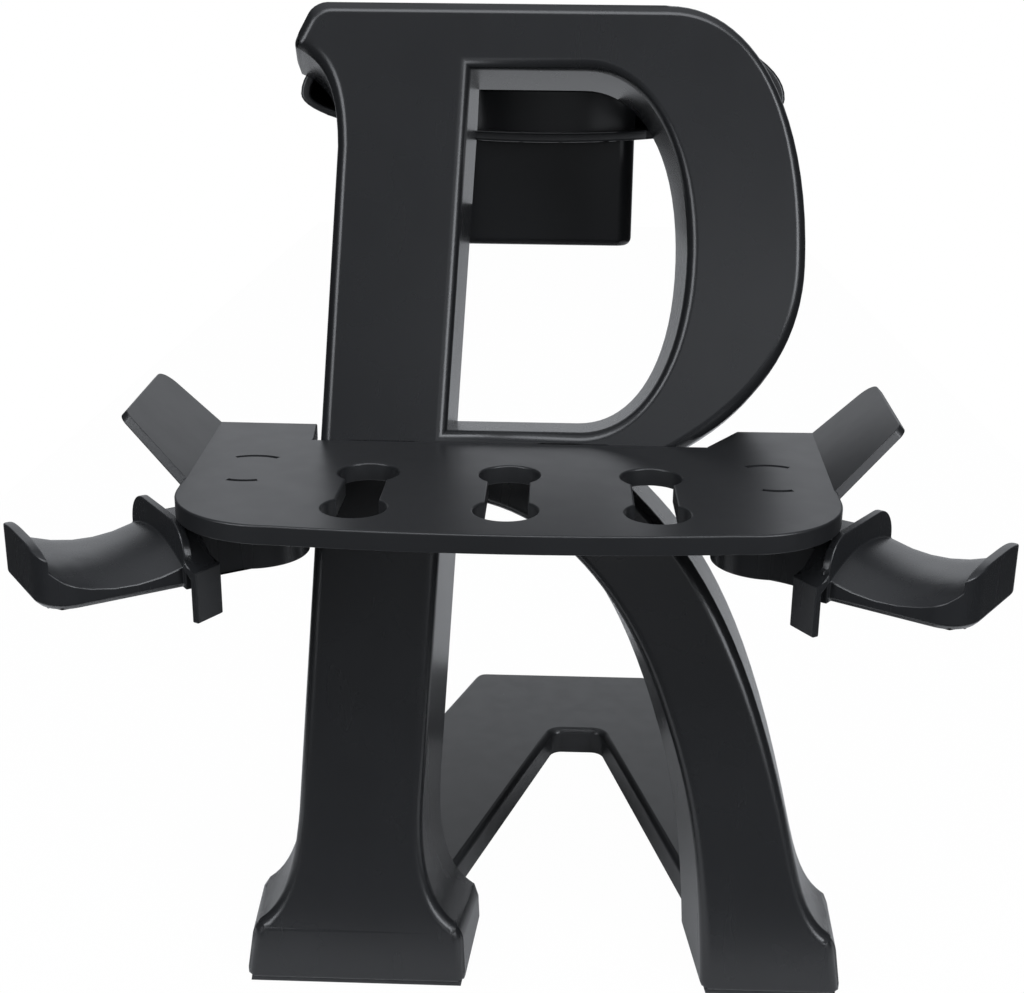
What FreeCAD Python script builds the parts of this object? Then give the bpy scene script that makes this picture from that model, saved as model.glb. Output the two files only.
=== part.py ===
# Stand for a virtual reality headset and its two controllers, in millimetres.
# X runs to the right, Y runs back, Z runs up. The letter's front face meets the floor at Y = 0
# while the pieces are made, and the finished stand is then centred on the origin.
import FreeCAD, Part
import math
import os

# Letter moulding: heights run up its leaning face, x runs across it
lean_deg = 12.15
letter_height = 290.0
letter_depth = 33.0
outer_draft = 3.2
counter_draft = 1.0
letter_wall = 2.6
edge_round = 2.0
chord_count = 6
stem_left = -65.3
stem_width = 36.6
stem_slant = 0.054
serif_reach = 14.7
serif_height = 12.0
serif_chamfer = 6.2
serif_drop = 40.0
serif_pull = 0.52
serif_hook = 7.6
serif_hook_drop = 2.4
top_bar = 18.0
counter_bottom = 169.0
counter_straight = 33.0
counter_right = 49.0
bowl_right = 82.6
bowl_straight = 42.0
bowl_sag = 2.2
bowl_fullness = 0.60
bowl_low_pull = 0.42
bowl_tail_pull = 0.32
bowl_tail_rise = 14.0
waist_x = 31.0
waist_height = 156.0
crotch_height = 149.5
crotch_pull = 29.0
leg_start_out = 26.0
leg_start_drop = 23.0
leg_end_in = 13.0
leg_end_rise = 84.0
leg_bend_x = 44.7
leg_bend_height = 90.6
leg_bend_slope = 0.362
leg_bend_low = 33.6
leg_bend_high = 35.4
leg_inner_foot = 59.9
leg_inner_lift = 36.0
leg_outer_foot = 86.0
foot_height = 18.0
bracket_height = 40.0
bracket_pull = 15.5
bracket_tuck = 1.2
bracket_toe = 8.2
bracket_toe_rise = 4.2
leg_bracket_height = 24.8
leg_bracket_out = 2.2
leg_bracket_drop = 9.0
left_foot_outer = -76.2
left_foot_inner = -13.0
right_foot_outer = 99.0
foot_flare = 0.12
inner_foot_flare = 0.06
rib_thickness = 1.8
rib_depth = 22.0
letter_rib_heights = (40.0, 90.0, 130.0, 205.0, 235.0)

# Non-slip pads
pad_thickness = 1.5
pad_inset = 1.4
rear_pad_radius = 6.5
rear_pad_recess = 1.2
rear_pad_edge = 8.0

# Shelf with its wings
shelf_top = 162.0
shelf_skirt = 5.0
shelf_plate = 2.4
shelf_wall = 2.2
shelf_back_width = 180.0
shelf_front_width = 173.0
shelf_reach = 80.0
shelf_wrap = 17.2
shelf_crown = 3.2
shelf_corner = 30.0
corner_fullness = 0.58
notch_gap = 1.8
notch_right_x = 56.0
notch_flare = 10.5
tongue_width = 16.0
tongue_thickness = 2.4
tongue_length = 9.0
tongue_drop = 1.2
stem_tongue_x = -38.0
bar_tongue_x = 18.0
fit_clearance = 0.25
hole_pitch = 38.3
hole_diameter = 16.6
hole_spacing = 30.0
hole_rear = 31.0
slot_width = 11.0
collar_wall = 1.8
wing_angle_deg = 43.7
wing_width = 22.8
wing_thickness = 2.5
wing_length = 58.0
wing_front_slant = 9.0
wing_corner = 6.0
slit_radius = 11.5
slit_width = 1.7
rear_slit_deg = 62.0
front_slit_deg = 41.0

# Controller arms, measured outward from the disc under the shelf
arm_x = 71.0
arm_ahead = 29.3
arm_forward_deg = 35.0
disc_radius = 15.5
disc_drop = 23.8
spigot_radius = 13.0
hub_neck_width = 26.0
hub_neck_drop = 12.0
arm_wall = 2.2
flange_at = 28.0
flange_thickness = 2.3
flange_front = 21.0
flange_rear = 18.0
flange_drop = 6.2
flange_corner = 9.0
saddle_length = 36.0
saddle_width = 40.0
saddle_corner = 9.0
saddle_steps = 6
arm_drop = 23.0
arm_chamfer = 1.6
crest_drop = 14.6
edge_drop = 19.2
saddle_dip_radius = 43.0
saddle_dip_at = 13.5
lip_thickness = 2.7
lip_top_drop = 7.5
lip_shoulder_drop = 8.4
lip_shoulder_at = 0.66
lip_end_drop = 11.3
arm_rib_count = 4
arm_rib_drop = 0.9
tab_length = 9.4
tab_bottom_drop = 30.9
tab_top_drop = 17.0
tab_thickness = 2.0
tab_rise = 9.0
tab_splay_deg = 25.0

# Head form: a domed cap with a box neck
head_x = 5.9
head_radius = 74.5
head_middle = 256.5
head_rise = 26.0
head_fall = 13.7
head_steps = 4
cavity_steps = 2
head_setback = 8.0
head_wall = 3.0
lug_length = 8.0
lug_width = 20.0
stem_lug_x = -33.0
bowl_lug_x = 57.0
lug_ceiling = 266.0
neck_half_width = 29.2
neck_depth = 32.0
neck_setback = 8.0
neck_bottom = 210.0
neck_round = 5.0

# V-shaped base plate
base_thickness = 10.0
base_ground = 1.0
base_wall = 2.6
base_rear = 202.5
base_rear_left = -19.0
base_rear_right = 54.5
base_corner = 5.0
notch_end = 151.0
notch_left = 13.6
notch_right = 32.4
base_left_outer = -73.0
base_left_inner = -23.5
base_right_inner = 61.0
base_right_outer = 97.5
base_edge = 1.6
base_tongue = 11.0

# Worked-out values
lean = math.radians(lean_deg)
origin = FreeCAD.Vector(0, 0, 0)
across = FreeCAD.Vector(1, 0, 0)
up = FreeCAD.Vector(0, 0, 1)
back = FreeCAD.Vector(0, 1, 0)
uphill = FreeCAD.Vector(0, math.sin(lean), math.cos(lean))
inward = FreeCAD.Vector(0, math.cos(lean), -math.sin(lean))
counter_top = letter_height - top_bar
shelf_line = shelf_top * math.tan(lean)
shelf_bottom = shelf_top - shelf_skirt
plate_bottom = shelf_top - shelf_plate
disc_top = shelf_bottom - fit_clearance
disc_bottom = shelf_top - disc_drop
flange_top = shelf_top - flange_drop
arm_bottom = shelf_top - arm_drop
saddle_crest = shelf_top - crest_drop
saddle_edge = shelf_top - edge_drop
lip_top = shelf_top - lip_top_drop
tab_top = shelf_top - tab_top_drop
tab_bottom = shelf_top - tab_bottom_drop
notch_left_x = stem_left + stem_slant * shelf_top / math.cos(lean) - notch_gap
foot_line = letter_depth / math.cos(lean)
rim_line = head_middle * math.tan(lean) + foot_line
arc_share = 1 - math.sqrt(1 / 2)
big = 4 * letter_height
quarter_turn = 90.0
flatness = 1e-4
facet_size = 0.5


def on_letter(x, height, depth=0.0):
    """Point of the leaning letter, from its place across, up and into it."""
    return across * x + uphill * height + inward * depth


def line(a, b):
    return Part.LineSegment(a, b).toShape()


def curve(a, b, c, d):
    """Cubic curve from a to d with handles b and c."""
    bezier = Part.BezierCurve()
    bezier.setPoles([a, b, c, d])
    return bezier.toShape()


def flat_point(x, height):
    return FreeCAD.Vector(x, height, 0)


def box(x0, x1, y0, y1, z0, z1):
    return Part.makeBox(x1 - x0, y1 - y0, z1 - z0, FreeCAD.Vector(x0, y0, z0))


def letter_box(x0, x1, v0, v1, d0, d1):
    """Box that leans with the letter."""
    corner = on_letter(x0, v0, d0)
    wire = Part.makePolygon([corner, on_letter(x1, v0, d0), on_letter(x1, v1, d0),
                             on_letter(x0, v1, d0), corner])
    return Part.Face(wire).extrude(inward * (d1 - d0))


def behind_letter(depth):
    """Half of space further into the letter than a depth."""
    return letter_box(-big, big, -big, big, depth, big)


def above(height):
    return box(-big, big, -big, big, height, big)


def lies_at_height(edge, height):
    return all(abs(v.Point.z - height) < flatness for v in edge.Vertexes)


def stem_edge(height, side=0.0):
    """x of the stem's left edge at a height, or of a line parallel to it."""
    return stem_left + stem_slant * height + side


def letter_runs():
    """Outer outline on the front face, clockwise, run past the floor: two points a line, four a curve."""
    at = flat_point
    below = -letter_depth
    reach = foot_height - below
    tip_height = letter_height - serif_height
    tip_x = stem_edge(tip_height) - serif_reach
    serif_foot = letter_height - serif_drop
    bowl_height = (counter_top + counter_bottom) / 2 - bowl_sag
    pull_x = bowl_straight + bowl_fullness * (bowl_right - bowl_straight)
    pull_height = bowl_height + bowl_fullness * (letter_height - bowl_height)
    low_height = bowl_height - bowl_low_pull * (bowl_height - waist_height)
    tail_x = bowl_right - bowl_tail_pull * (bowl_right - waist_x)
    bracket_top = foot_height + bracket_height
    toe_height = foot_height + bracket_toe_rise
    pull_top = foot_height + bracket_pull
    leg_low = foot_height + leg_bracket_height
    crotch_x = stem_edge(crotch_height, stem_width)
    inner_x = stem_edge(bracket_top, stem_width)
    outer_x = stem_edge(bracket_top)

    crown = at(tip_x + serif_chamfer, letter_height)
    bowl_top = at(bowl_straight, letter_height)
    bowl_side = at(bowl_right, bowl_height)
    waist = at(waist_x, waist_height)
    leg_end = at(leg_outer_foot, leg_low)
    right_toe = at(right_foot_outer, foot_height)
    right_heel = at(right_foot_outer + foot_flare * reach, below)
    arch_heel = at(leg_inner_foot, below)
    leg_bend = at(leg_bend_x, leg_bend_height)
    crotch = at(crotch_x, crotch_height)
    inner_start = at(inner_x, bracket_top)
    inner_toe = at(left_foot_inner, foot_height)
    inner_heel = at(left_foot_inner + inner_foot_flare * reach, below)
    outer_heel = at(left_foot_outer - foot_flare * reach, below)
    outer_toe = at(left_foot_outer, foot_height)
    outer_start = at(outer_x, bracket_top)
    serif_start = at(stem_edge(serif_foot), serif_foot)
    tip = at(tip_x, tip_height)
    return [
        (crown, bowl_top),
        (bowl_top, at(pull_x, letter_height), at(bowl_right, pull_height), bowl_side),
        (bowl_side, at(bowl_right, low_height), at(tail_x, waist_height + bowl_tail_rise), waist),
        (waist, at(waist_x + leg_start_out, waist_height - leg_start_drop),
         at(leg_outer_foot - leg_end_in, foot_height + leg_end_rise), leg_end),
        (leg_end, at(leg_outer_foot + leg_bracket_out, leg_low - leg_bracket_drop),
         at(right_foot_outer - bracket_toe, toe_height), right_toe),
        (right_toe, right_heel),
        (right_heel, arch_heel),
        (arch_heel, at(leg_inner_foot, leg_inner_lift),
         at(leg_bend_x + leg_bend_slope * leg_bend_low, leg_bend_height - leg_bend_low), leg_bend),
        (leg_bend, at(leg_bend_x - leg_bend_slope * leg_bend_high, leg_bend_height + leg_bend_high),
         at(crotch_x + crotch_pull, crotch_height), crotch),
        (crotch, inner_start),
        (inner_start, at(inner_x - bracket_tuck, pull_top),
         at(left_foot_inner - bracket_toe, toe_height), inner_toe),
        (inner_toe, inner_heel),
        (inner_heel, outer_heel),
        (outer_heel, outer_toe),
        (outer_toe, at(left_foot_outer + bracket_toe, toe_height),
         at(outer_x - bracket_tuck, pull_top), outer_start),
        (outer_start, serif_start),
        (serif_start, at(stem_edge(serif_foot), serif_foot + serif_drop * (1 - serif_pull)),
         at(tip_x + serif_hook, tip_height - serif_hook_drop), tip),
        (tip, crown),
    ]


def counter_runs():
    """Outline of the hole in the letter's bowl, clockwise."""
    at = flat_point
    middle = (counter_top + counter_bottom) / 2
    rise = bowl_fullness * (counter_top - counter_bottom) / 2
    start_x = stem_edge(counter_top, stem_width)
    turn_x = start_x + counter_straight
    pull_x = turn_x + bowl_fullness * (counter_right - turn_x)
    top_left = at(start_x, counter_top)
    top_turn = at(turn_x, counter_top)
    side = at(counter_right, middle)
    bottom_turn = at(turn_x, counter_bottom)
    bottom_left = at(stem_edge(counter_bottom, stem_width), counter_bottom)
    return [
        (top_left, top_turn),
        (top_turn, at(pull_x, counter_top), at(counter_right, middle + rise), side),
        (side, at(counter_right, middle - rise), at(pull_x, counter_bottom), bottom_turn),
        (bottom_turn, bottom_left),
        (bottom_left, top_left),
    ]


def outward(start, end):
    """Unit vector to the left of a step, which is outwards on a clockwise outline."""
    step = (end - start).normalize()
    return FreeCAD.Vector(-step.y, step.x, 0)


def chords(runs):
    """The same outline with each curve as a few straight steps, for hidden inside walls."""
    result = []
    for run in runs:
        points = run
        if len(run) > 2:
            bezier = Part.BezierCurve()
            bezier.setPoles(list(run))
            points = [bezier.value(index / chord_count) for index in range(chord_count + 1)]
        result += list(zip(points, points[1:]))
    return result


def grown(runs, amount):
    """Outline moved out by an amount, with each corner carried along its mitre."""
    shifts = []
    for before, run in zip(runs[-1:] + runs[:-1], runs):
        left = outward(before[-2], before[-1])
        right = outward(run[0], run[1])
        shifts.append((left + right) * (amount / (1 + left.dot(right))))
    result = []
    for run, first, last in zip(runs, shifts, shifts[1:] + shifts[:1]):
        half = len(run) // 2
        result.append([p + first for p in run[:half]] + [p + last for p in run[half:]])
    return result


def letter_wire(runs, depth):
    edges = []
    for run in runs:
        points = [on_letter(p.x, p.y, depth) for p in run]
        edges.append(curve(*points) if len(points) > 2 else line(*points))
    return Part.Wire(edges)


def letter_block(inset, d0, d1, rounding=0.0):
    """Letter between two depths with its walls moved in by inset, widening to the back by its draft."""
    outline = letter_runs()
    opening = counter_runs()
    levels = [(d0, inset), (d1, inset)]
    if rounding:
        levels = [(d0, inset + rounding), (d0 + rounding, inset), (d1, inset)]
    if inset:
        outline = chords(outline)
        opening = chords(opening)
    outer = []
    hole = []
    for depth, moved in levels:
        share = depth / letter_depth
        outer.append(letter_wire(grown(outline, outer_draft * share - moved), depth))
        hole.append(letter_wire(grown(opening, moved - counter_draft * share), depth))
    return Part.makeLoft(outer, True, True).cut(Part.makeLoft(hole, True, True))


def redrawn(wire):
    """The same closed line with every edge a plain spline that ends on its vertices."""
    edges = []
    for edge in wire.OrderedEdges:
        spline = edge.Curve.toBSpline(edge.FirstParameter, edge.LastParameter)
        for index in (1, spline.NbPoles):
            end = spline.getPole(index)
            gaps = [(v.Point.distanceToPoint(end), v.Point) for v in edge.Vertexes]
            spline.setPole(index, min(gaps, key=lambda gap: gap[0])[1])
        edges.append(spline.toShape())
    return Part.Wire(edges)


def tongue_boxes(room):
    """Shelf tongues that reach through the letter's front wall, grown by room."""
    top = shelf_top - tongue_drop
    half = tongue_width / 2 + room
    boxes = []
    for x in (stem_tongue_x, bar_tongue_x):
        boxes.append(box(x - half, x + half, shelf_line - shelf_wall, shelf_line + tongue_length + room,
                         top - tongue_thickness - room, top + room))
    return boxes


def make_letter():
    shell = letter_block(0, 0, letter_depth, edge_round).common(above(pad_thickness))
    cavity = letter_block(letter_wall, letter_wall, letter_depth + letter_wall)
    shell = shell.cut(cavity.common(above(pad_thickness + letter_wall)))
    core = letter_block(letter_wall / 2, letter_wall / 2, rib_depth)
    ribs = []
    for height in letter_rib_heights:
        ribs.append(letter_box(-big, big, height, height + rib_thickness, 0, letter_depth).common(core))
    shell = shell.fuse(ribs)
    for slot in tongue_boxes(fit_clearance):
        shell = shell.cut(slot)
    return shell.removeSplitter()


def make_foot_pads():
    """Left and right pad: the foot's outline drawn in and laid flat on the floor."""
    slab = box(-big, big, -big, big, 0, pad_thickness)
    pads = letter_block(pad_inset, pad_inset, letter_depth - pad_inset).common(slab)
    return sorted(pads.Solids, key=lambda pad: pad.CenterOfMass.x)


def dumbbell(x, wall, z0, z1):
    """Two round holes joined by a slot, grown by wall."""
    rear = shelf_line - hole_rear
    front = rear - hole_spacing
    radius = hole_diameter / 2 + wall
    half = slot_width / 2 + wall
    rounds = [Part.makeCylinder(radius, z1 - z0, FreeCAD.Vector(x, y, z0)) for y in (rear, front)]
    return box(x - half, x + half, front, rear, z0, z1).fuse(rounds)


def arc_band(side, mid_deg, span_deg, width, z0, z1):
    """Upright curved band about a disc's axis, for a slit or the tongue in it."""
    centre = FreeCAD.Vector(side * arm_x, shelf_line - arm_ahead, z0)
    band = Part.makeCylinder(slit_radius + width / 2, z1 - z0, centre, up, span_deg)
    band = band.cut(Part.makeCylinder(slit_radius - width / 2, z1 - z0, centre))
    band.rotate(centre, up, mid_deg - span_deg / 2)
    return band


def shelf_plan():
    """Shelf outline from above, with the notch that takes the letter."""
    rear = shelf_line + shelf_wrap
    front = shelf_line - shelf_reach
    side_front = front + shelf_crown
    wide = shelf_back_width / 2
    narrow = shelf_front_width / 2
    turn_x = narrow - shelf_corner
    turn_y = side_front + shelf_corner
    full = shelf_corner * corner_fullness
    notch_wide_x = notch_right_x + notch_flare

    def at(x, y):
        return FreeCAD.Vector(x, y, 0)

    def corner(side):
        return [at(side * narrow, turn_y), at(side * narrow, turn_y - full),
                at(side * (turn_x + full), side_front), at(side * turn_x, side_front)]

    left = corner(-1)
    right = corner(1)
    return Part.Wire([
        line(at(-wide, rear), left[0]),
        curve(*left),
        Part.Arc(left[3], at(0, front), right[3]).toShape(),
        curve(*reversed(right)),
        line(right[0], at(wide, rear)),
        line(at(wide, rear), at(notch_wide_x, rear)),
        line(at(notch_wide_x, rear), at(notch_right_x, shelf_line)),
        line(at(notch_right_x, shelf_line), at(notch_left_x, shelf_line)),
        line(at(notch_left_x, shelf_line), at(notch_left_x - notch_gap, rear)),
        line(at(notch_left_x - notch_gap, rear), at(-wide, rear)),
    ])


def make_wing(side):
    """Upturned wing along one side of the shelf."""
    rear = shelf_line + shelf_wrap
    angle = math.radians(wing_angle_deg)
    out = FreeCAD.Vector(side * math.cos(angle), 0, math.sin(angle))
    down = FreeCAD.Vector(side * math.sin(angle), 0, -math.cos(angle))
    root = FreeCAD.Vector(side * (shelf_back_width / 2 - shelf_wall), rear, shelf_top - shelf_plate / 2)
    length = wing_width + shelf_plate
    bend = wing_corner * arc_share

    def at(reach, ahead):
        return root + out * reach - back * ahead

    wire = Part.Wire([
        line(at(0, 0), at(length - wing_corner, 0)),
        Part.Arc(at(length - wing_corner, 0), at(length - bend, bend), at(length, wing_corner)).toShape(),
        line(at(length, wing_corner), at(length, wing_length - wing_front_slant)),
        line(at(length, wing_length - wing_front_slant), at(0, wing_length)),
        line(at(0, wing_length), at(0, 0)),
    ])
    wing = Part.Face(wire).extrude(down * wing_thickness)
    run = shelf_reach + shelf_wrap - shelf_crown - shelf_corner
    taper = math.degrees(math.atan2((shelf_back_width - shelf_front_width) / 2, run))
    wing.rotate(root, up, -side * taper)
    return wing


def make_shelf():
    plan = Part.Face(shelf_plan())
    plan.translate(up * shelf_bottom)
    body = plan.extrude(up * shelf_skirt)
    pocket = Part.Face(redrawn(plan.makeOffset2D(-shelf_wall, 0).Wires[0]))
    body = body.cut(pocket.extrude(up * (shelf_skirt - shelf_plate)))
    holes = (-hole_pitch, 0, hole_pitch)
    body = body.fuse([dumbbell(x, collar_wall, shelf_bottom, shelf_top - shelf_plate / 2) for x in holes])
    body = body.fuse([make_wing(side) for side in (-1, 1)])
    body = body.cut(letter_box(notch_left_x - fit_clearance, notch_right_x + fit_clearance, 0, letter_height,
                               -fit_clearance, letter_depth))
    body = body.fuse(tongue_boxes(0))
    for x in holes:
        body = body.cut(dumbbell(x, 0, shelf_bottom - shelf_skirt, shelf_top + shelf_skirt))
    for side in (-1, 1):
        for middle, span in ((quarter_turn, rear_slit_deg), (-quarter_turn, front_slit_deg)):
            body = body.cut(arc_band(side, middle, span, slit_width, shelf_bottom, shelf_top + shelf_skirt))
    return body


def saddle_plan(inset, z):
    """Saddle outline from above, square at the flange and round at the lip."""
    x0 = flange_at
    x1 = flange_at + saddle_length - inset
    half = saddle_width / 2 - inset
    r = saddle_corner - inset
    bend = r * arc_share

    def at(x, y):
        return FreeCAD.Vector(x, y, z)

    return Part.Wire([
        line(at(x0, -half), at(x1 - r, -half)),
        Part.Arc(at(x1 - r, -half), at(x1 - bend, -half + bend), at(x1, -half + r)).toShape(),
        line(at(x1, -half + r), at(x1, half - r)),
        Part.Arc(at(x1, half - r), at(x1 - bend, half - bend), at(x1 - r, half)).toShape(),
        line(at(x1 - r, half), at(x0, half)),
        line(at(x0, half), at(x0, -half)),
    ])


def saddle_tool():
    """Body over the saddle: arched sections laid along the dip and joined straight."""
    half = saddle_width / 2
    fall = saddle_crest - saddle_edge
    arch_radius = (half * half + fall * fall) / (2 * fall)
    reach = half + arm_wall
    droop = arch_radius - math.sqrt(arch_radius * arch_radius - reach * reach)
    sections = []
    for index in range(saddle_steps + 1):
        along = saddle_length * index / saddle_steps
        away = along - saddle_dip_at
        rise = saddle_dip_radius - math.sqrt(saddle_dip_radius * saddle_dip_radius - away * away)
        corners = []
        for y, z in ((-reach, saddle_crest - droop + rise), (0, saddle_crest + rise),
                     (reach, saddle_crest - droop + rise), (reach, shelf_top), (-reach, shelf_top)):
            corners.append(FreeCAD.Vector(flange_at + along, y, z))
        left, top, right, high_right, high_left = corners
        sections.append(Part.Wire([Part.Arc(left, top, right).toShape(), line(right, high_right),
                                   line(high_right, high_left), line(high_left, left)]))
    return Part.makeLoft(sections, True, True)


def saddle_pocket():
    """Hollow under the saddle, arched like its lowest section."""
    half = saddle_width / 2 - lip_thickness
    length = saddle_length - 2 * lip_thickness
    crown = saddle_crest - arm_wall
    edge = saddle_edge - arm_wall / 2

    def at(y, z):
        return FreeCAD.Vector(flange_at, y, z)

    wire = Part.Wire([
        Part.Arc(at(-half, edge), at(0, crown), at(half, edge)).toShape(),
        line(at(half, edge), at(half, arm_bottom)),
        line(at(half, arm_bottom), at(-half, arm_bottom)),
        line(at(-half, arm_bottom), at(-half, edge)),
    ])
    return Part.Face(wire).extrude(across * length)


def lip_profile():
    """Block under the arched top of the end lip."""
    half = saddle_width / 2

    def at(y, z):
        return FreeCAD.Vector(flange_at, y, z)

    shoulder = half * lip_shoulder_at
    lip_shoulder = shelf_top - lip_shoulder_drop
    lip_end = shelf_top - lip_end_drop
    points = [at(-half, lip_end), at(-shoulder, lip_shoulder), at(0, lip_top),
              at(shoulder, lip_shoulder), at(half, lip_end)]
    top = Part.BSplineCurve()
    top.interpolate(points)
    wire = Part.Wire([
        top.toShape(),
        line(at(half, lip_end), at(half, arm_bottom)),
        line(at(half, arm_bottom), at(-half, arm_bottom)),
        line(at(-half, arm_bottom), at(-half, lip_end)),
    ])
    return Part.Face(wire).extrude(across * saddle_length)


def make_hub():
    """Hollow disc and neck that carry the arm, with the spigot under the shelf."""
    height = disc_top - disc_bottom
    half = hub_neck_width / 2
    neck_top = shelf_top - hub_neck_drop
    hub = Part.makeCylinder(disc_radius, height, up * disc_bottom)
    hub = hub.fuse(box(0, flange_at, -half, half, disc_bottom, neck_top))
    bore = Part.makeCylinder(disc_radius - arm_wall, height - arm_wall, up * disc_bottom)
    duct = box(0, flange_at - flange_thickness, -half + arm_wall, half - arm_wall,
               disc_bottom, neck_top - arm_wall)
    hub = hub.cut(bore.fuse(duct))
    return hub.fuse(Part.makeCylinder(spigot_radius, plate_bottom - disc_top, up * disc_top))


def make_flange():
    flange = box(flange_at - flange_thickness, flange_at, -flange_front, flange_rear, arm_bottom, flange_top)
    ends = [e for e in flange.Edges if lies_at_height(e, flange_top) and e.Length < flange_corner]
    return flange.makeFillet(flange_corner, ends)


def make_saddle():
    """Saddle dished along the arm and crowned across it, hollow below, with an end lip."""
    middle = arm_bottom + arm_chamfer
    lip_inside = flange_at + saddle_length - lip_thickness
    block = Part.makeLoft([saddle_plan(arm_chamfer, arm_bottom), saddle_plan(0, middle)], True)
    block = block.fuse(Part.Face(saddle_plan(0, middle)).extrude(up * (lip_top - arm_bottom)))
    block = block.common(lip_profile())
    block = block.cut(saddle_tool().common(box(0, lip_inside, -big, big, 0, big)))
    block = block.cut(saddle_pocket())
    ribs = []
    for index in range(arm_rib_count):
        y = saddle_width * ((index + 1) / (arm_rib_count + 1) - 1 / 2)
        rib = box(flange_at - flange_thickness, lip_inside, y - rib_thickness / 2, y + rib_thickness / 2,
                  arm_bottom - arm_rib_drop, saddle_edge)
        ribs.append(rib)
    return block.fuse(ribs)


def make_tab():
    """Bent sheet at the front of the flange, turned down into a small tab."""
    inner = -flange_front + tab_rise
    outer = -flange_front - tab_thickness / 2
    high = flange_top - tab_thickness
    low = high - 2 * tab_thickness

    def at(y, z):
        return FreeCAD.Vector(flange_at - tab_length, y, z)

    wire = Part.Wire([
        curve(at(inner, high), at(inner - tab_rise / 2, high), at(outer + tab_rise / 2, tab_top),
              at(outer, tab_top)),
        line(at(outer, tab_top), at(outer, tab_bottom)),
        line(at(outer, tab_bottom), at(outer + tab_thickness, tab_bottom)),
        line(at(outer + tab_thickness, tab_bottom), at(outer + tab_thickness, tab_top - tab_thickness)),
        line(at(outer + tab_thickness, tab_top - tab_thickness), at(inner, low)),
        line(at(inner, low), at(inner, high)),
    ])
    tab = Part.Face(wire).extrude(across * tab_length)
    tab.rotate(at(outer, 0), up, -tab_splay_deg)
    return tab.cut(box(flange_at - flange_thickness / 2, big, outer, big, 0, big))


def make_arms():
    """Left and right arm. Each is made about its disc's axis, reaching along X, then turned forward."""
    arm = make_hub().fuse([make_flange(), make_saddle(), make_tab()])
    arm.rotate(origin, up, -arm_forward_deg)
    arm.translate(FreeCAD.Vector(arm_x, shelf_line - arm_ahead, 0))
    gap_deg = math.degrees(fit_clearance / slit_radius)
    for middle, span in ((quarter_turn, rear_slit_deg), (-quarter_turn, front_slit_deg)):
        arm = arm.fuse(arc_band(1, middle, span - 2 * gap_deg, slit_width - 2 * fit_clearance,
                                disc_top, shelf_top - tongue_drop / 2))
    arm = arm.removeSplitter()
    return arm.mirror(origin, across), arm


def dome(wall, steps):
    """Cap turned about an upright axis behind the letter, or its inside at a wall thickness."""
    axis = FreeCAD.Vector(head_x, rim_line + head_setback, 0)
    points = []
    for index in range(-steps, steps + 1):
        turn = math.pi / 2 * index / steps
        height = head_rise if index > 0 else head_fall
        points.append(axis - back * ((head_radius - wall) * math.cos(turn))
                      + up * (head_middle + (height - wall) * math.sin(turn)))
    return Part.Face(Part.makePolygon(points + points[:1])).revolve(axis, up, 360)


def neck_block(inset):
    half = neck_half_width - inset
    front = rim_line + neck_setback + inset
    neck = box(head_x - half, head_x + half, front, front + neck_depth - 2 * inset,
               neck_bottom + inset, head_middle)
    upright = [e for e in neck.Edges if not lies_at_height(e, e.Vertexes[0].Point.z)]
    return neck.makeFillet(neck_round - inset, upright)


def make_head_form():
    outside = dome(0, head_steps)
    skin = outside.fuse(neck_block(0))
    skin = skin.cut(dome(head_wall, cavity_steps)).cut(neck_block(head_wall))
    form = skin.common(behind_letter(letter_depth))
    crest = letter_box(-big, big, letter_height - 2 * letter_wall, big, letter_depth, letter_depth + head_wall)
    form = form.fuse(outside.common(crest))
    for x in (stem_lug_x, bowl_lug_x):
        lug = letter_box(x - lug_width / 2, x + lug_width / 2, 0, lug_ceiling,
                         letter_depth - lug_length, letter_depth)
        form = form.fuse(skin.common(lug))
    return form.removeSplitter()


def base_plan():
    """Outline of the base from above, its two arms run forward into the feet."""
    front = foot_line - 2 * base_tongue

    def at(x, y):
        return FreeCAD.Vector(x, y, base_ground)

    outline = [
        at(base_rear_left, base_rear), at(base_left_outer, foot_line), at(base_left_outer, front),
        at(base_left_inner, front), at(base_left_inner, foot_line), at(notch_left, notch_end),
        at(notch_right, notch_end), at(base_right_inner, foot_line), at(base_right_inner, front),
        at(base_right_outer, front), at(base_right_outer, foot_line), at(base_rear_right, base_rear),
    ]
    return Part.Face(Part.makePolygon(outline + outline[:1]))


def rear_pad_places():
    inset = rear_pad_radius + rear_pad_edge
    y = base_rear - inset
    return [FreeCAD.Vector(base_rear_left + inset / 2, y, 0), FreeCAD.Vector(base_rear_right - inset / 2, y, 0)]


def make_base():
    top = base_ground + base_thickness
    plan = base_plan()
    body = plan.extrude(up * base_thickness)
    corners = []
    for edge in body.Edges:
        upright = abs(edge.Length - base_thickness) < flatness
        if upright and edge.CenterOfMass.y > (foot_line + notch_end) / 2:
            corners.append(edge)
    body = body.makeFillet(base_corner, corners)
    body = body.makeChamfer(base_edge, [e for e in body.Edges if lies_at_height(e, top)])
    pocket = plan.makeOffset2D(-base_wall, 0).extrude(up * (base_thickness - base_wall))
    body = body.cut(pocket.common(behind_letter(letter_depth + base_wall)))
    for place in rear_pad_places():
        seat = place + up * base_ground
        body = body.fuse(Part.makeCylinder(rear_pad_radius + base_wall, base_thickness - base_wall, seat))
        body = body.cut(Part.makeCylinder(rear_pad_radius + fit_clearance, rear_pad_recess, seat))
    body = body.common(behind_letter(letter_depth))
    room = letter_block(letter_wall + fit_clearance, letter_depth - base_tongue, letter_depth)
    room = room.common(above(pad_thickness + letter_wall + fit_clearance))
    body = body.fuse(plan.extrude(up * (base_thickness - base_edge)).common(room))
    return body.removeSplitter()


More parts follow.
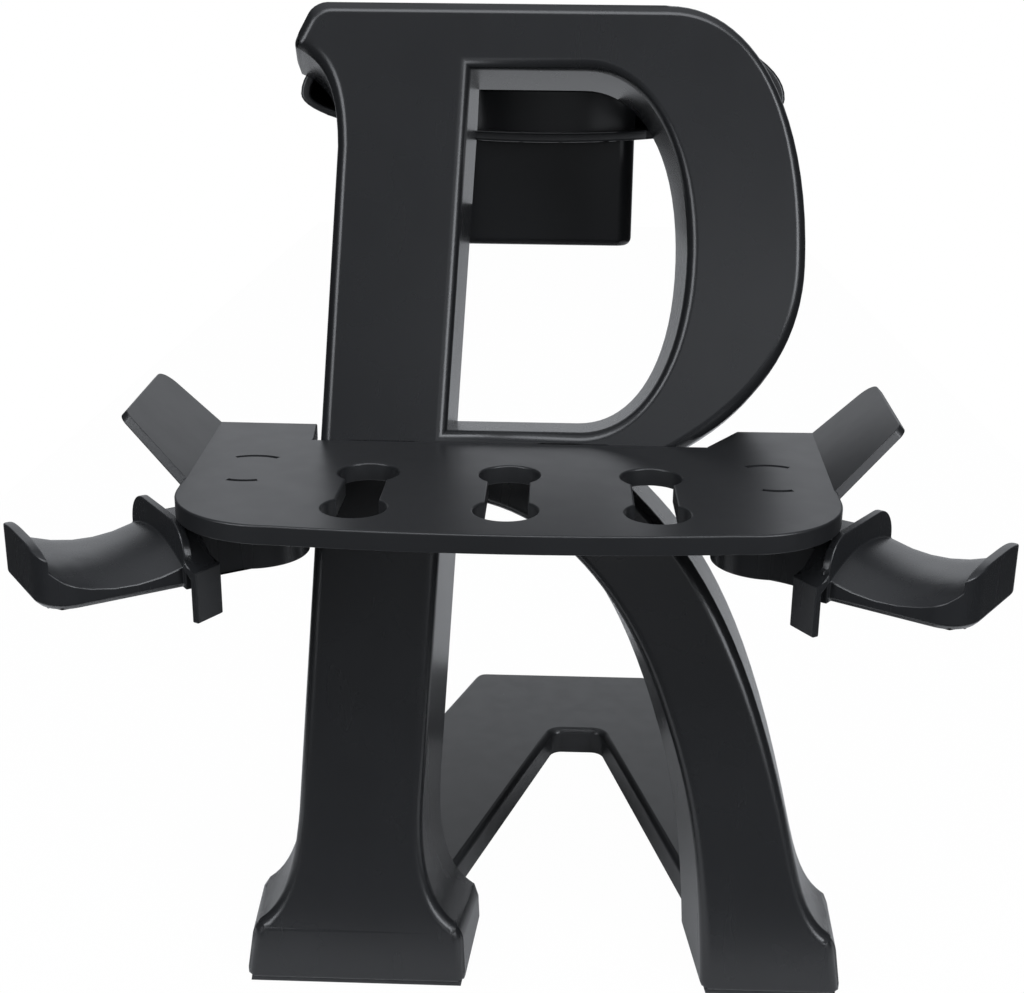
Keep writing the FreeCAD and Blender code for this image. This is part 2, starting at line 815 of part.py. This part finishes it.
def make_rear_pads():
    height = base_ground + rear_pad_recess
    return Part.Compound([Part.makeCylinder(rear_pad_radius, height, place) for place in rear_pad_places()])


def main():
    left_arm, right_arm = make_arms()
    left_pad, right_pad = make_foot_pads()
    nodes = {
        "letter_frame": make_letter(),
        "shelf": make_shelf(),
        "left_arm": left_arm,
        "right_arm": right_arm,
        "head_form": make_head_form(),
        "base": make_base(),
        "left_foot_pad": left_pad,
        "right_foot_pad": right_pad,
        "rear_pads": make_rear_pads(),
    }
    whole = FreeCAD.BoundBox()
    for shape in nodes.values():
        for point in shape.tessellate(facet_size)[0]:
            whole.add(point)
    centred = FreeCAD.Vector(-whole.Center.x, -whole.Center.y, -whole.ZMin)
    os.makedirs("parts", exist_ok=True)
    for name, shape in nodes.items():
        shape.translate(centred)
        shape.exportStep("parts/" + name + ".step")
        print(name, shape.isValid(), len(shape.Solids), round(shape.Volume))
    print("moved by", centred, "size", whole.XLength, whole.YLength, whole.ZLength)


main()
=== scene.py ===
import math

import bmesh
import bpy
from mathutils import Matrix, Vector


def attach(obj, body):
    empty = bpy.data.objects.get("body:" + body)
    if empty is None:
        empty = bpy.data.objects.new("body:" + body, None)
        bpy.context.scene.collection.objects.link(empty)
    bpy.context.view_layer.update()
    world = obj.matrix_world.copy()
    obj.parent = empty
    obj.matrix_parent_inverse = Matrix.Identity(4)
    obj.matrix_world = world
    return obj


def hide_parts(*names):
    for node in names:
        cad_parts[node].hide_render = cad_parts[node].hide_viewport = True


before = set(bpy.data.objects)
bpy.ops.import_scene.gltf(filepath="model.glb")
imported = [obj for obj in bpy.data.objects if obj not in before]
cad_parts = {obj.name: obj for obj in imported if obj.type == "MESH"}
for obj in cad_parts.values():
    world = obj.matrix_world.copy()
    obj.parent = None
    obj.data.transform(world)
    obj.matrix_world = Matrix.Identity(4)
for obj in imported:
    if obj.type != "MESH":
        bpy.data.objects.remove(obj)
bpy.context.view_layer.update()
scene = bpy.context.scene
scene.view_settings.view_transform = "Standard"
mm = 0.001
hair = 1e-6   # m, nearer than this counts as touching
print("frame loaded:", len(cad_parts), "nodes")


# camera at the photograph's place
cameraSet = {
    "place": (12.40, -459.25, 281.8),   # mm
    "pitch": 0.316649,                  # down
    "yaw": 0.030425,                    # towards the left
    "roll": 0.010685,
    "focalPixels": 1487, "imageWidth": 1024, "sensor": 36, "clipStart": 0.01,
}


def addCamera(s):
    ahead = Vector((-math.sin(s["yaw"]) * math.cos(s["pitch"]),
                    math.cos(s["yaw"]) * math.cos(s["pitch"]), -math.sin(s["pitch"])))
    level = Vector((math.cos(s["yaw"]), math.sin(s["yaw"]), 0))
    rise = level.cross(ahead)
    right = level * math.cos(s["roll"]) + rise * math.sin(s["roll"])
    up = rise * math.cos(s["roll"]) - level * math.sin(s["roll"])
    camera = bpy.data.objects.new("photoCamera", bpy.data.cameras.new("photoCamera"))
    camera.data.lens = s["focalPixels"] / s["imageWidth"] * s["sensor"]
    camera.data.sensor_width = s["sensor"]
    camera.data.sensor_fit = "HORIZONTAL"
    camera.data.clip_start = s["clipStart"]
    turn = Matrix((right, up, -ahead)).transposed().to_4x4()
    camera.matrix_world = Matrix.Translation(Vector(s["place"]) * mm) @ turn
    scene.collection.objects.link(camera)
    scene.camera = camera


addCamera(cameraSet)
print("camera set")


# node helpers
def newGroup(name, inputs, outputs):
    group = bpy.data.node_groups.new(name, "ShaderNodeTree")
    for label, value in inputs:
        socket = group.interface.new_socket(label, in_out="INPUT", socket_type="NodeSocketFloat")
        socket.default_value = value
    for label in outputs:
        group.interface.new_socket(label, in_out="OUTPUT", socket_type="NodeSocketFloat")
    return group, group.nodes.new("NodeGroupInput"), group.nodes.new("NodeGroupOutput")


def addNode(tree, kind, links=(), **values):
    node = tree.nodes.new(kind)
    for key, value in values.items():
        setattr(node, key, value)
    for socket, source in links:
        if hasattr(source, "is_output"):
            tree.links.new(source, node.inputs[socket])
        else:
            node.inputs[socket].default_value = source
    return node


def mathNode(tree, operation, *values):
    return addNode(tree, "ShaderNodeMath", enumerate(values), operation=operation).outputs[0]


def spread(tree, value, low, high, newLow=0.0, newHigh=1.0):
    links = [("Value", value), ("From Min", low), ("From Max", high), ("To Min", newLow), ("To Max", newHigh)]
    return addNode(tree, "ShaderNodeMapRange", links, clamp=True).outputs[0]


def mixTint(tree, share, first, second):
    links = [("Factor", share), ("A", first), ("B", second)]
    return addNode(tree, "ShaderNodeMix", links, data_type="RGBA").outputs["Result"]


# fine mould grain, slow cloudiness and faint flow lines, shared by the plastics
grainSet = {"scale": 3400.0, "cloudScale": 38.0, "flowScale": 140.0, "flowStretch": (1.0, 1.0, 0.06),
            "cloudSpan": (0.3, 0.7), "flowSpan": (0.35, 0.65)}


def buildMouldGrain(s):
    group, given, out = newGroup(
        "mouldGrain",
        [("Scale", s["scale"]), ("Cloud Scale", s["cloudScale"]), ("Flow Scale", s["flowScale"])],
        ["Height", "Cloud", "Flow"])
    place = addNode(group, "ShaderNodeTexCoord").outputs["Object"]
    fine = addNode(group, "ShaderNodeTexNoise",
                   [("Vector", place), ("Scale", given.outputs["Scale"]), ("Detail", 2.0), ("Roughness", 0.6)])
    cloud = addNode(group, "ShaderNodeTexNoise",
                    [("Vector", place), ("Scale", given.outputs["Cloud Scale"]), ("Detail", 4.0)])
    drawn = addNode(group, "ShaderNodeMapping", [("Vector", place), ("Scale", s["flowStretch"])])
    flow = addNode(group, "ShaderNodeTexNoise",
                   [("Vector", drawn.outputs[0]), ("Scale", given.outputs["Flow Scale"]), ("Detail", 3.0)])
    group.links.new(fine.outputs["Fac"], out.inputs["Height"])
    group.links.new(spread(group, cloud.outputs["Fac"], *s["cloudSpan"]), out.inputs["Cloud"])
    group.links.new(spread(group, flow.outputs["Fac"], *s["flowSpan"]), out.inputs["Flow"])
    return group


# sparse pale specks
dustSet = {"scale": 130.0, "share": 0.06, "smallest": 0.02, "sizeSpread": 0.03}


def buildDust(s):
    group, given, out = newGroup("dustSpecks", [("Scale", s["scale"]), ("Share", s["share"])], ["Specks"])
    place = addNode(group, "ShaderNodeTexCoord").outputs["Object"]
    cells = addNode(group, "ShaderNodeTexVoronoi", [("Vector", place), ("Scale", given.outputs["Scale"])])
    chosen = addNode(group, "ShaderNodeSeparateColor", [("Color", cells.outputs["Color"])])
    size = mathNode(group, "MULTIPLY_ADD", chosen.outputs["Green"], s["sizeSpread"], s["smallest"])
    near = mathNode(group, "LESS_THAN", cells.outputs["Distance"], size)
    rare = mathNode(group, "LESS_THAN", chosen.outputs["Red"], given.outputs["Share"])
    group.links.new(mathNode(group, "MULTIPLY", near, rare), out.inputs["Specks"])
    return group


mouldGrain = buildMouldGrain(grainSet)
dustSpecks = buildDust(dustSet)


def plastic(name, s):
    material = bpy.data.materials.new(name)
    material.use_nodes = True
    tree = material.node_tree
    shader = tree.nodes["Principled BSDF"]
    grain = addNode(tree, "ShaderNodeGroup", node_tree=mouldGrain)
    dust = addNode(tree, "ShaderNodeGroup", node_tree=dustSpecks)
    dust.inputs["Share"].default_value = s["specks"]
    base = mixTint(tree, grain.outputs["Cloud"], s["deep"], s["pale"])
    dusty = mixTint(tree, dust.outputs["Specks"], base, s["dustTint"])
    tree.links.new(dusty, shader.inputs["Base Color"])
    rough = spread(tree, grain.outputs["Flow"], 0.0, 1.0, *s["roughness"])
    tree.links.new(rough, shader.inputs["Roughness"])
    bump = addNode(tree, "ShaderNodeBump", [("Height", grain.outputs["Height"]), ("Strength", s["bump"]),
                                            ("Distance", s["bumpReach"])])
    tree.links.new(bump.outputs[0], shader.inputs["Normal"])
    shader.inputs["Specular IOR Level"].default_value = s["shine"]
    return material


# a grey with a little blue
def tint(value, blue=1.08):
    return (value * (2 - blue) ** 0.5, value, value * blue, 1.0)


satinSet = {"deep": tint(0.0125), "pale": tint(0.0145), "roughness": (0.266, 0.274), "shine": 0.5,
            "bump": 0.015, "bumpReach": 0.00006, "specks": 0.04, "dustTint": tint(0.22)}
letterPlastic = plastic("letterPlastic", satinSet)
shelfPlastic = plastic("shelfPlastic", dict(satinSet, roughness=(0.35, 0.37), bump=0.08))
armPlastic = plastic("armPlastic", dict(satinSet, deep=tint(0.015), pale=tint(0.019), roughness=(0.26, 0.28),
                                        bump=0.03, specks=0.03))
headPlastic = plastic("headPlastic", dict(satinSet, roughness=(0.29, 0.32), bump=0.03, specks=0.0))
basePlastic = plastic("basePlastic", dict(satinSet, roughness=(0.31, 0.35), bump=0.08, specks=0.06))
padRubber = plastic("padRubber", dict(satinSet, roughness=(0.6, 0.75), deep=tint(0.012), pale=tint(0.02),
                                      bump=0.5, specks=0.12))
print("materials ready")


# moulded pieces start as merged copies of the CAD nodes
mergeSet = {"weld": 0.02, "flatAngle": 0.6}   # mm, degrees


def mergedCopy(nodeName, s=mergeSet):
    bm = bmesh.new()
    bm.from_mesh(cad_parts[nodeName].data)
    bmesh.ops.remove_doubles(bm, verts=bm.verts, dist=s["weld"] * mm)
    bmesh.ops.dissolve_degenerate(bm, dist=s["weld"] * mm, edges=bm.edges)
    bmesh.ops.dissolve_limit(bm, angle_limit=math.radians(s["flatAngle"]), verts=bm.verts, edges=bm.edges)
    return bm


def foldAngle(edge):
    return math.degrees(edge.calc_face_angle(0.0)) if len(edge.link_faces) == 2 else 0.0


def foldWithin(edge, span):
    return span[0] < foldAngle(edge) < span[1]


def edgeLength(edge):
    return edge.calc_length() / mm


def atLevel(edge, height, slack):
    return all(abs(v.co.z / mm - height) < slack for v in edge.verts)


def roundEdges(bm, size, steps, pick):
    chosen = [e for e in bm.edges if pick(e)]
    if chosen:
        bmesh.ops.bevel(bm, geom=chosen, offset=size * mm, offset_type="OFFSET", affect="EDGES",
                        segments=steps, profile=0.5, material=-1, clamp_overlap=False)
    return len(chosen)


# faces larger than flatAbove, in square mm, stay flat
def finishPiece(bm, pieceName, material, nodes, sharp=38, flatAbove=None):
    mesh = bpy.data.meshes.new(pieceName)
    bm.to_mesh(mesh)
    bm.free()
    for face in mesh.polygons:
        face.use_smooth = flatAbove is None or face.area < flatAbove * mm * mm
    mesh.set_sharp_from_angle(angle=math.radians(sharp))
    mesh.materials.append(material)
    piece = bpy.data.objects.new(pieceName, mesh)
    scene.collection.objects.link(piece)
    weights = piece.modifiers.new("faceNormals", "WEIGHTED_NORMAL")
    weights.keep_sharp = True
    weights.weight = 100
    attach(piece, "root")
    if nodes:
        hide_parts(*nodes)
    print("piece", pieceName, len(mesh.polygons), "faces")


# the letter: leaning face, rounded outline corners, soft front edge
letterSet = {
    "lean": math.radians(12.15), "frontAtFloor": -78.753, "edge": 2.0, "depth": 33.0,
    "corners": [((-64.9, 278.0), 3.2), ((-58.8, 290.0), 3.6), ((-76.2, 18.0), 3.0), ((-13.0, 18.0), 3.2),
                ((99.0, 18.0), 3.2)],   # x and height on the face, and rounding, mm
    "cornerReach": 4.5, "cornerRun": 0.6, "cornerFold": 12, "cornerSteps": 5,
    "frontRound": 1.15, "frontSteps": 4, "frontFold": 18,
    "soleHeight": 1.5, "soleDepth": 20.0, "soleRound": 1.3, "soleFold": 50,
    "slack": 0.05, "flatAbove": 450.0,
}


# depth behind the leaning face and height up it, mm
def letterDepth(p, s=letterSet):
    return (p.y / mm - s["frontAtFloor"]) * math.cos(s["lean"]) - p.z / mm * math.sin(s["lean"])


def letterHeight(p, s=letterSet):
    return (p.y / mm - s["frontAtFloor"]) * math.sin(s["lean"]) + p.z / mm * math.cos(s["lean"])


def buildLetter(s):
    bm = mergedCopy("letter_frame")

    def atSole(e):
        ahead = min(letterDepth(v.co) for v in e.verts) < s["soleDepth"]
        return atLevel(e, s["soleHeight"], s["slack"]) and ahead and foldAngle(e) > s["soleFold"]
    print("sole edges", roundEdges(bm, s["soleRound"], s["frontSteps"], atSole))

    for (x, height), size in s["corners"]:
        def atCorner(e):
            mid = (e.verts[0].co + e.verts[1].co) / 2
            near = math.hypot(mid.x / mm - x, letterHeight(mid) - height) < s["cornerReach"]
            run = abs(letterDepth(e.verts[0].co) - letterDepth(e.verts[1].co))
            return near and run > s["cornerRun"] * edgeLength(e) and foldAngle(e) > s["cornerFold"]
        print("letter corner", x, height, roundEdges(bm, size, s["cornerSteps"], atCorner))

    def atFront(e):
        depths = [letterDepth(v.co) for v in e.verts]
        level = any(all(abs(d - loop) < s["slack"] for d in depths) for loop in (0.0, s["edge"]))
        return level and foldAngle(e) > s["frontFold"]
    print("front edges", roundEdges(bm, s["frontRound"], s["frontSteps"], atFront))
    finishPiece(bm, "letterBody", letterPlastic, ["letter_frame"], flatAbove=s["flatAbove"])


buildLetter(letterSet)


# shelf: thin plate with skirt, soft rims
shelfSet = {
    "top": 162.0, "slack": 0.02, "steps": 5, "sharp": 21, "flatAbove": 40.0,
    "rim": 0.55, "rimFold": (60, 150), "crisp": 0.3, "crispFold": (55, 150), "shortest": 1.0, "wingShortest": 0.2,
    "discX": 71.0, "discY": -73.17, "slitReach": 13.5,
    "tipFrom": 92.0, "tipRound": 2.4, "tipEdge": (1.5, 4.5), "tipFold": 40, "rootX": 84.0, "shortRoot": 1.2,
}


def buildShelf(s):
    bm = mergedCopy("shelf")

    def beyond(e, x):
        return all(abs(v.co.x / mm) > x for v in e.verts)

    def atTip(e):
        shortest, longest = s["tipEdge"]
        return beyond(e, s["tipFrom"]) and shortest < edgeLength(e) < longest and foldAngle(e) > s["tipFold"]
    print("wing tips", roundEdges(bm, s["tipRound"], s["steps"], atTip))

    # the rim leaves out the slits and the short edges where a wing leaves the plate
    def atSlit(e):
        fromDisc = [math.hypot(abs(v.co.x / mm) - s["discX"], v.co.y / mm - s["discY"]) for v in e.verts]
        return max(fromDisc) < s["slitReach"]

    def atRoot(e):
        return edgeLength(e) < s["shortRoot"] and beyond(e, s["rootX"])

    def atTop(e):
        level = atLevel(e, s["top"], s["slack"])
        return level and foldWithin(e, s["rimFold"]) and not atSlit(e) and not atRoot(e)
    print("shelf rim edges", roundEdges(bm, s["rim"], s["steps"], atTop))

    def crisp(e):
        shortest = s["wingShortest"] if beyond(e, s["tipFrom"]) else s["shortest"]
        return foldWithin(e, s["crispFold"]) and edgeLength(e) > shortest and not atSlit(e)
    print("shelf crisp edges", roundEdges(bm, s["crisp"], s["steps"], crisp))
    finishPiece(bm, "trayShelf", shelfPlastic, ["shelf"], s["sharp"], s["flatAbove"])


buildShelf(shelfSet)


# controller cradles
cradleSet = {"round": 0.4, "steps": 3, "fold": 40, "shortest": 0.6}


def buildCradle(nodeName, pieceName, s):
    bm = mergedCopy(nodeName)

    def crisp(e):
        return foldAngle(e) > s["fold"] and edgeLength(e) > s["shortest"]
    print("cradle edges", roundEdges(bm, s["round"], s["steps"], crisp))
    finishPiece(bm, pieceName, armPlastic, [nodeName])


buildCradle("left_arm", "leftCradle", cradleSet)
buildCradle("right_arm", "rightCradle", cradleSet)


# head form: smooth turned cap behind the letter, a box neck below it and a curved wall in front
headSet = {
    "x": 5.9, "setback": 8.0, "planeDrop": 2.5, "radius": 74.3, "middle": 256.5, "rise": 25.9, "fall": 13.6,
    "wall": 3.0, "profileSteps": 20, "turnSteps": 96, "rimRound": 0.8, "rimSteps": 3, "rimFold": 30,
    "neckHalf": 29.2, "neckDepth": 32.0, "neckBottom": 210.0, "neckOverlap": 3.0, "neckRound": 5.0, "neckSteps": 8,
    "footRound": 2.4, "footSteps": 5, "uprightFrom": 10.0, "slack": 0.01,
    "wallRadius": 64.0, "wallSegments": 128, "wallFront": 3.0, "wallLow": 244.5, "wallHigh": 279.0, "sharp": 50,
}


# the letter's back plane at a height, mm
def planeY(z, s=letterSet):
    return s["frontAtFloor"] + s["depth"] / math.cos(s["lean"]) + z * math.tan(s["lean"])


# where the cap's axis stands, which is also the neck's front
def axisY(s):
    return planeY(s["middle"] - s["planeDrop"]) + s["setback"]


def cutMesh(bm, point, normal, **sides):
    return bmesh.ops.bisect_plane(bm, geom=bm.verts[:] + bm.edges[:] + bm.faces[:], dist=0.1 * hair,
                                  plane_co=point, plane_no=normal, **sides)["geom_cut"]


def buildCap(s):
    bm = bmesh.new()
    centre = Vector((s["x"], axisY(s), s["middle"])) * mm
    ring = []
    for wall, order in ((0.0, 1), (s["wall"], -1)):
        run = []
        for i in range(-s["profileSteps"], s["profileSteps"] + 1):
            turn = math.pi / 2 * i / s["profileSteps"]
            high = (s["rise"] if i > 0 else s["fall"]) - wall
            out = Vector((0, (s["radius"] - wall) * math.cos(turn), high * math.sin(turn)))
            run.append(bm.verts.new(centre + out * mm))
        ring += run[::order]
    edges = [bm.edges.new(pair) for pair in zip(ring, ring[1:])]
    edges = [e for e in edges if max(abs(v.co.y - centre.y) for v in e.verts) > hair]   # none along the axis
    ends = list(dict.fromkeys(v for e in edges for v in e.verts))
    bmesh.ops.spin(bm, geom=edges + ends, cent=centre, axis=(0, 0, 1), angle=2 * math.pi,
                   steps=s["turnSteps"], use_merge=True, use_duplicate=False)
    bmesh.ops.remove_doubles(bm, verts=bm.verts, dist=hair)
    away = Vector((0, math.cos(letterSet["lean"]), -math.sin(letterSet["lean"])))
    onPlane = Vector((0, planeY(0.0), 0)) * mm
    cut = cutMesh(bm, onPlane, away, clear_inner=True)
    bmesh.ops.bridge_loops(bm, edges=[e for e in cut if isinstance(e, bmesh.types.BMEdge)])
    bmesh.ops.recalc_face_normals(bm, faces=bm.faces)

    def atRim(e):
        flush = all(abs((v.co - onPlane).dot(away)) < hair for v in e.verts)
        return flush and foldAngle(e) > s["rimFold"]
    print("cap rim edges", roundEdges(bm, s["rimRound"], s["rimSteps"], atRim))
    finishPiece(bm, "headCap", headPlastic, ["head_form"], s["sharp"])


def buildNeck(s):
    bm = bmesh.new()
    top = s["middle"] - s["fall"] + s["neckOverlap"]
    size = Vector((2 * s["neckHalf"], s["neckDepth"], top - s["neckBottom"]))
    place = Vector((s["x"], axisY(s) + s["neckDepth"] / 2, (top + s["neckBottom"]) / 2))
    bmesh.ops.create_cube(bm, size=1.0)
    bmesh.ops.scale(bm, vec=size * mm, verts=bm.verts)
    bmesh.ops.translate(bm, vec=place * mm, verts=bm.verts)

    def upright(e):
        return abs(e.verts[0].co.z - e.verts[1].co.z) / mm > s["uprightFrom"]
    roundEdges(bm, s["neckRound"], s["neckSteps"], upright)

    def atFoot(e):
        return atLevel(e, s["neckBottom"], s["slack"])
    roundEdges(bm, s["footRound"], s["footSteps"], atFoot)
    finishPiece(bm, "headNeck", headPlastic, [], s["sharp"])


def buildFrontWall(s):
    bm = bmesh.new()
    radius = s["wallRadius"] * mm
    bmesh.ops.create_cone(bm, cap_ends=True, segments=s["wallSegments"], radius1=radius, radius2=radius,
                          depth=(s["wallHigh"] - s["wallLow"]) * mm)
    place = Vector((s["x"], planeY(s["wallLow"]) + s["wallFront"] + s["wallRadius"],
                    (s["wallHigh"] + s["wallLow"]) / 2))
    bmesh.ops.translate(bm, vec=place * mm, verts=bm.verts)
    cutMesh(bm, Vector((s["x"], axisY(s), s["middle"])) * mm, (0, 1, 0), clear_outer=True)
    bmesh.ops.holes_fill(bm, edges=[e for e in bm.edges if len(e.link_faces) == 1], sides=0)
    bmesh.ops.recalc_face_normals(bm, faces=bm.faces)
    finishPiece(bm, "headFrontWall", headPlastic, [], s["sharp"])


buildCap(headSet)
buildNeck(headSet)
buildFrontWall(headSet)


# base plate and rubber pads
baseSet = {"topFrom": 8.0, "fold": (30, 60), "round": 0.7, "steps": 3}


def buildBase(s):
    bm = mergedCopy("base")

    def slanted(e):
        return foldWithin(e, s["fold"]) and all(v.co.z / mm > s["topFrom"] for v in e.verts)
    print("base edges", roundEdges(bm, s["round"], s["steps"], slanted))
    finishPiece(bm, "footPlate", basePlastic, ["base"])


def buildPad(nodeName, pieceName):
    finishPiece(mergedCopy(nodeName), pieceName, padRubber, [nodeName])


buildBase(baseSet)
buildPad("left_foot_pad", "leftFootPad")
buildPad("right_foot_pad", "rightFootPad")
buildPad("rear_pads", "rearPads")


# pale floor and soft studio light: a pale sweep behind the object and a dim room in front of it
coolLight = (0.97, 1.0, 1.05)
studioSet = {
    "floorWide": 0.32, "floorNear": -0.15, "floorFar": 1.6, "floorTint": tint(0.86, 1.0), "floorRough": 0.9,
    "cameraShare": 0.985,
    "roomLight": 0.03, "frontLight": 0.1, "frontSpan": (-0.8, -0.3), "topLight": 0.65, "topSpan": (0.6, 0.95),
    "sweepLight": 1.15, "sweepSpan": (0.72, 0.93), "sweepTop": (0.6, 0.85), "sweepFade": 0.6,
    "sweepLow": (0.1, 0.4), "lowShare": 0.45,
}
plainWhite = (1, 1, 1, 1)


def addFloor(s):
    bm = bmesh.new()
    bmesh.ops.create_grid(bm, x_segments=1, y_segments=1, size=1.0)
    reach = (s["floorFar"] - s["floorNear"]) / 2
    bmesh.ops.scale(bm, vec=(s["floorWide"], reach, 1.0), verts=bm.verts)
    bmesh.ops.translate(bm, vec=(0.0, s["floorNear"] + reach, 0.0), verts=bm.verts)
    mesh = bpy.data.meshes.new("studioFloor")
    bm.to_mesh(mesh)
    bm.free()
    floor = bpy.data.objects.new("studioFloor", mesh)
    scene.collection.objects.link(floor)
    material = bpy.data.materials.new("paleFloor")
    material.use_nodes = True
    tree = material.node_tree
    shader = tree.nodes["Principled BSDF"]
    shader.inputs["Base Color"].default_value = s["floorTint"]
    shader.inputs["Roughness"].default_value = s["floorRough"]
    glow = addNode(tree, "ShaderNodeEmission", [("Color", plainWhite), ("Strength", 1.0)])
    path = addNode(tree, "ShaderNodeLightPath")
    share = mathNode(tree, "MULTIPLY", path.outputs["Is Camera Ray"], s["cameraShare"])
    mix = addNode(tree, "ShaderNodeMixShader", [(0, share), (1, shader.outputs[0]), (2, glow.outputs[0])])
    tree.links.new(mix.outputs[0], tree.nodes["Material Output"].inputs["Surface"])
    mesh.materials.append(material)


def addWorld(s):
    world = bpy.data.worlds.new("studioWorld")
    scene.world = world
    world.use_nodes = True
    tree = world.node_tree
    tree.nodes.clear()
    way = addNode(tree, "ShaderNodeTexCoord").outputs["Generated"]
    split = addNode(tree, "ShaderNodeSeparateXYZ", [("Vector", way)])
    back, height = split.outputs["Y"], split.outputs["Z"]
    front = spread(tree, back, *s["frontSpan"], s["frontLight"], 0.0)
    sweep = spread(tree, back, *s["sweepSpan"], 0.0, s["sweepLight"])
    highFade = spread(tree, height, *s["sweepTop"], 1.0, 1.0 - s["sweepFade"])
    lowFade = spread(tree, height, *s["sweepLow"], s["lowShare"], 1.0)
    sweep = mathNode(tree, "MULTIPLY", sweep, mathNode(tree, "MULTIPLY", highFade, lowFade))
    top = spread(tree, height, *s["topSpan"], s["roomLight"], s["topLight"])
    level = mathNode(tree, "ADD", mathNode(tree, "ADD", sweep, front), top)
    path = addNode(tree, "ShaderNodeLightPath")
    soft = addNode(tree, "ShaderNodeBackground", [("Color", (*coolLight, 1)), ("Strength", level)])
    white = addNode(tree, "ShaderNodeBackground", [("Color", plainWhite), ("Strength", 1.0)])
    mix = addNode(tree, "ShaderNodeMixShader", [(0, path.outputs["Is Camera Ray"]), (1, soft.outputs[0]),
                                                (2, white.outputs[0])])
    out = addNode(tree, "ShaderNodeOutputWorld")
    tree.links.new(mix.outputs[0], out.inputs["Surface"])


# the three small lamps light the counter's inner walls and aren't seen themselves
lampSets = {
    "leftFrontBox": {"place": (-1.0, -1.0, 0.75), "aim": (0.0, 0.0, 0.15), "size": (0.5, 1.0), "watts": 9.0},
    "rightFrontBox": {"place": (1.0, -1.0, 0.75), "aim": (0.0, 0.0, 0.15), "size": (0.5, 1.0), "watts": 11.0},
    "overheadBox": {"place": (0.0, -0.8, 1.4), "aim": (0.0, 0.0, 0.15), "size": (1.2, 0.6), "watts": 10.0},
    "frontPanel": {"place": (0.4, -2.0, 0.6), "aim": (0.0, 0.0, 0.2), "size": (1.1, 0.4), "watts": 1.4},
    "counterFill": {"place": (0.004, 0.0085, 0.243), "aim": (0.004, -0.1, 0.243), "size": (0.05, 0.038),
                    "watts": 0.0028, "seen": False},
    "counterLeft": {"place": (-0.019, -0.003, 0.254), "aim": (0.1, -0.003, 0.254), "size": (0.024, 0.03),
                    "watts": 0.0022, "seen": False},
    "counterRight": {"place": (0.038, -0.003, 0.252), "aim": (-0.1, -0.003, 0.252), "size": (0.024, 0.03),
                     "watts": 0.0015, "seen": False},
}


def addLamp(name, s):
    light = bpy.data.lights.new(name, "AREA")
    light.shape = "RECTANGLE"
    light.size, light.size_y = s["size"]
    light.energy = s["watts"]
    light.color = coolLight
    lamp = bpy.data.objects.new(name, light)
    lamp.location = s["place"]
    lamp.rotation_euler = (Vector(s["aim"]) - Vector(s["place"])).to_track_quat("-Z", "Y").to_euler()
    lamp.visible_camera = s.get("seen", True)
    scene.collection.objects.link(lamp)


addFloor(studioSet)
addWorld(studioSet)
for lampName, lampSet in lampSets.items():
    addLamp(lampName, lampSet)
print("studio lit")
